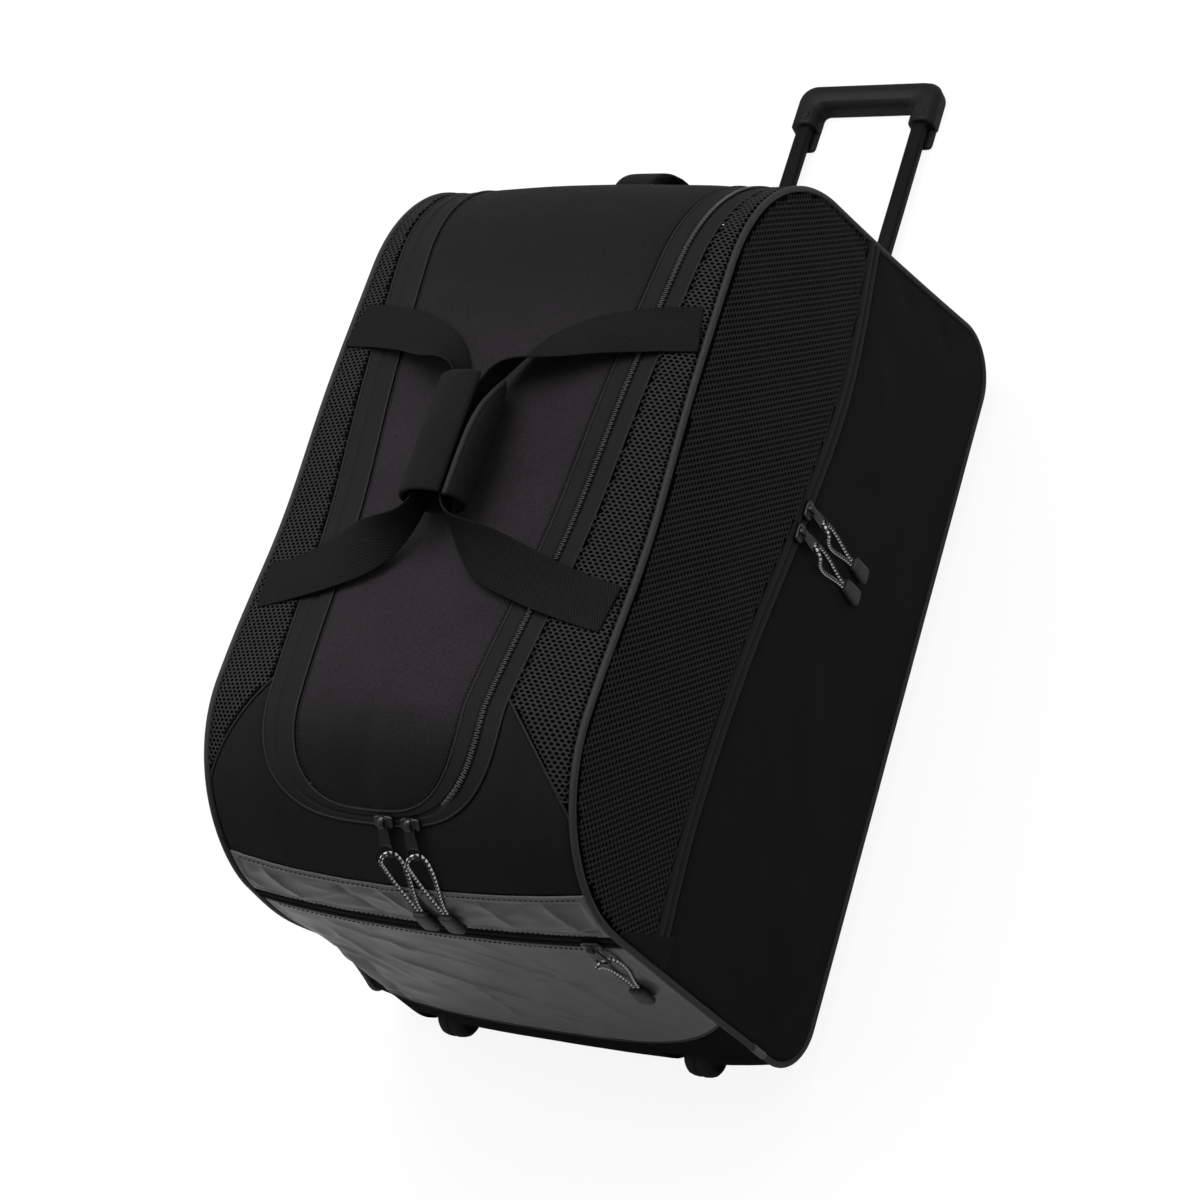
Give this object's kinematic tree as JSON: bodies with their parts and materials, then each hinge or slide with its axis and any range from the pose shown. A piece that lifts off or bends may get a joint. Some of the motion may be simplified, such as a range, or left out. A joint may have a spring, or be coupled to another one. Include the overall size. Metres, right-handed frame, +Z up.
{
  "type": "wheeled duffel bag",
  "caption": "Black wheeled duffel bag with a zipped lid, mesh panels, grab straps, a reflective end pocket, corner wheels and a sliding trolley handle.",
  "frame": {"origin": "on the resting surface, under the middle of the base", "axes": "+X to the bag's right seen from the wheel end, +Y towards the trolley grip, +Z up through the lid"},
  "size_m": [0.4252, 1.0579, 0.5019],
  "materials": {
    "cloth": "matt woven cloth",
    "mesh": "open spacer mesh",
    "zip": "zip tape and coil",
    "piping": "bound piping",
    "vinyl": "grey coated cloth",
    "webbing": "ribbed webbing",
    "grip_plastic": "satin moulded plastic",
    "rail_plastic": "moulded plastic",
    "tube_metal": "black anodised tube",
    "wheel_rubber": "black rubber",
    "slider_metal": "black lacquered metal",
    "cord_rubber": "moulded rubber",
    "cord": "black and white braid"
  },
  "bodies": {
    "bag": {"base_panel": "cloth", "cord_end_handle": "cord_rubber", "cord_end_lid_a": "cord_rubber", "cord_end_lid_b": "cord_rubber", "cord_end_pocket": "cord_rubber", "cord_end_side_left_a": "cord_rubber", "cord_end_side_left_b": "cord_rubber", "cord_end_side_right_a": "cord_rubber", "cord_end_side_right_b": "cord_rubber", "cord_handle": "cord", "cord_lid_a": "cord", "cord_lid_b": "cord", "cord_pocket": "cord", "cord_side_left_a": "cord", "cord_side_left_b": "cord", "cord_side_right_a": "cord", "cord_side_right_b": "cord", "end_handle": "webbing", "end_pocket": "vinyl", "end_zip": "zip", "grab_strap_left": "webbing", "grab_strap_right": "webbing", "grab_wrap": "cloth", "guide_left": "rail_plastic", "guide_right": "rail_plastic", "handle_end": "cloth", "handle_top": "cloth", "handle_zip": "zip", "lid_apron": "cloth", "lid_flap": "cloth", "lid_mesh_left": "mesh", "lid_mesh_right": "mesh", "lid_zip": "zip", "piping_left": "piping", "piping_right": "piping", "reflective_strip": "vinyl", "side_cloth_left": "cloth", "side_cloth_right": "cloth", "side_mesh_left": "mesh", "side_mesh_right": "mesh", "side_zip_left": "zip", "side_zip_right": "zip", "slider_handle": "slider_metal", "slider_lid_a": "slider_metal", "slider_lid_b": "slider_metal", "slider_pocket": "slider_metal", "slider_side_left_a": "slider_metal", "slider_side_left_b": "slider_metal", "slider_side_right_a": "slider_metal", "slider_side_right_b": "slider_metal", "wheel_end_band": "cloth", "wheel_housing_left": "rail_plastic", "wheel_housing_right": "rail_plastic"},
    "trolley": {"grip": "grip_plastic", "tube_left": "tube_metal", "tube_right": "tube_metal"},
    "wheel_left": {"wheel_left": "wheel_rubber"},
    "wheel_right": {"wheel_right": "wheel_rubber"}
  },
  "joints": [
    {"name": "trolley_slide", "type": "slide", "parent": "bag", "child": "trolley", "axis": [0, 1, 0], "range_m": [-0.25, 0.1]},
    {"name": "wheel_left_spin", "type": "hinge", "parent": "bag", "child": "wheel_left", "pos_m": [-0.1215, -0.338, 0.0226], "axis": [1, 0, 0], "continuous": true},
    {"name": "wheel_right_spin", "type": "hinge", "parent": "bag", "child": "wheel_right", "pos_m": [0.1215, -0.338, 0.0226], "axis": [1, 0, 0], "continuous": true}
  ]
}
